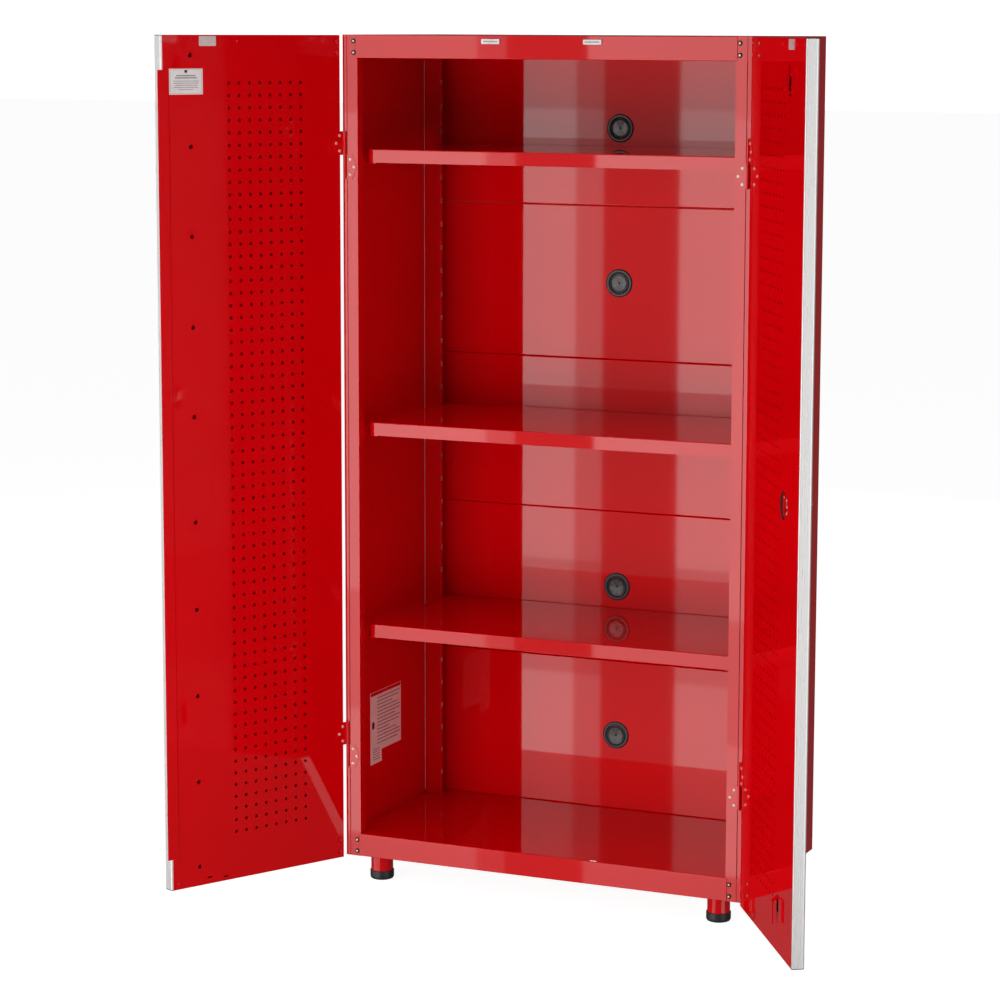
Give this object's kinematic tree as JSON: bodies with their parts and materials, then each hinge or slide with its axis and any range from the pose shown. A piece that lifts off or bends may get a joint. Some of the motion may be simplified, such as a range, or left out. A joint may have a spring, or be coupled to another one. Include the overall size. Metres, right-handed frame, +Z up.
{
  "type": "steel storage cabinet",
  "caption": "Freestanding red steel cabinet with two hinged pegboard-lined doors, lift-out shelves, locking rods and levelling feet.",
  "frame": {"origin": "on the floor under the centre of the cabinet body's footprint", "axes": "+Z up along the cabinet's height, +X to the right seen from the front, -Y towards the front"},
  "size_m": [1.4001, 0.8707, 1.829],
  "materials": {
    "red_paint": "glossy red powder coat over folded steel sheet",
    "trim_aluminium": "satin anodised extrusion, fine lengthwise grain",
    "dark_plastic": "moulded black plastic, semi-matte",
    "black_screw": "black oxide screw heads",
    "white_plastic": "moulded white plastic",
    "magnet": "bare grey magnet bar",
    "sticker": null,
    "zinc_steel": "bright zinc plated steel",
    "lock_chrome": "bright plated lock parts"
  },
  "bodies": {
    "carcass": {"left_side_panel": "red_paint", "right_side_panel": "red_paint", "front_post_left": "red_paint", "front_post_right": "red_paint", "rear_post_left": "red_paint", "rear_post_right": "red_paint", "top_panel": "red_paint", "floor_pan": "red_paint", "back_panel_1": "red_paint", "back_panel_2": "red_paint", "back_panel_3": "red_paint", "back_panel_4": "red_paint", "back_panel_5": "red_paint", "cable_grommets": "dark_plastic", "grommet_caps": "dark_plastic", "corner_screws": "black_screw", "magnetic_catches": "white_plastic", "catch_magnets": "magnet", "interior_label": "sticker", "hinge_frame_leaves": "red_paint", "hinge_pins": "zinc_steel", "frame_leaf_rivets": "zinc_steel", "leg_tubes": "red_paint", "leg_plugs": "zinc_steel", "shelf_clips": "zinc_steel"},
    "left_door": {"left_door_shell": "red_paint", "left_door_panel": "red_paint", "left_door_trim": "trim_aluminium", "left_trim_caps": "dark_plastic", "left_door_hinge_leaves": "red_paint", "left_door_rivets": "zinc_steel", "left_strike_plate": "zinc_steel", "left_door_screws": "zinc_steel", "astragal": "red_paint", "left_door_label": "sticker"},
    "right_door": {"right_door_shell": "red_paint", "right_door_panel": "red_paint", "right_door_trim": "trim_aluminium", "right_trim_caps": "dark_plastic", "right_door_hinge_leaves": "red_paint", "right_door_rivets": "zinc_steel", "right_strike_plate": "zinc_steel", "right_door_screws": "zinc_steel", "lock_housing": "lock_chrome", "lock_nut": "zinc_steel", "rod_guides": "red_paint"},
    "lock_plug": {"lock_plug": "lock_chrome", "lock_cam": "zinc_steel", "lock_key": "lock_chrome"},
    "upper_rod": {"upper_rod": "red_paint"},
    "lower_rod": {"lower_rod": "red_paint"},
    "shelf_1": {"shelf_1": "red_paint"},
    "shelf_2": {"shelf_2": "red_paint"},
    "shelf_3": {"shelf_3": "red_paint"},
    "foot_front_left": {"levelling_foot_front_left": "dark_plastic"},
    "foot_front_right": {"levelling_foot_front_right": "dark_plastic"},
    "foot_rear_left": {"levelling_foot_rear_left": "dark_plastic"},
    "foot_rear_right": {"levelling_foot_rear_right": "dark_plastic"}
  },
  "joints": [
    {"name": "left_door_hinge", "type": "hinge", "parent": "carcass", "child": "left_door", "pos_m": [-0.451, -0.235, 0.94], "axis": [0, 0, 1], "range_deg": [-57, 117.74]},
    {"name": "right_door_hinge", "type": "hinge", "parent": "carcass", "child": "right_door", "pos_m": [0.451, -0.235, 0.94], "axis": [0, 0, -1], "range_deg": [-52, 122.86]},
    {"name": "lock_turn", "type": "hinge", "parent": "right_door", "child": "lock_plug", "pos_m": [0.65156, -0.49592, 0.94], "axis": [-0.84, -0.5426, 0], "range_deg": [0, 90]},
    {"name": "upper_rod_slide", "type": "slide", "parent": "right_door", "child": "upper_rod", "axis": [0, 0, 1], "range_m": [0, 0.025]},
    {"name": "lower_rod_slide", "type": "slide", "parent": "right_door", "child": "lower_rod", "axis": [0, 0, -1], "range_m": [0, 0.025]},
    {"name": "shelf_1_lift", "type": "slide", "parent": "carcass", "child": "shelf_1", "axis": [0, 0, 1], "range_m": [0, 0.03]},
    {"name": "shelf_2_lift", "type": "slide", "parent": "carcass", "child": "shelf_2", "axis": [0, 0, 1], "range_m": [0, 0.03]},
    {"name": "shelf_3_lift", "type": "slide", "parent": "carcass", "child": "shelf_3", "axis": [0, 0, 1], "range_m": [0, 0.03]},
    {"name": "foot_front_left_adjust", "type": "slide", "parent": "carcass", "child": "foot_front_left", "axis": [0, 0, -1], "range_m": [0, 0.02]},
    {"name": "foot_front_right_adjust", "type": "slide", "parent": "carcass", "child": "foot_front_right", "axis": [0, 0, -1], "range_m": [0, 0.02]},
    {"name": "foot_rear_left_adjust", "type": "slide", "parent": "carcass", "child": "foot_rear_left", "axis": [0, 0, -1], "range_m": [0, 0.02]},
    {"name": "foot_rear_right_adjust", "type": "slide", "parent": "carcass", "child": "foot_rear_right", "axis": [0, 0, -1], "range_m": [0, 0.02]}
  ],
  "couplings": [
    {"joint": "lock_turn", "follows": "upper_rod_slide", "rad_per_m": 62.832},
    {"joint": "lower_rod_slide", "follows": "upper_rod_slide", "ratio": 1}
  ]
}
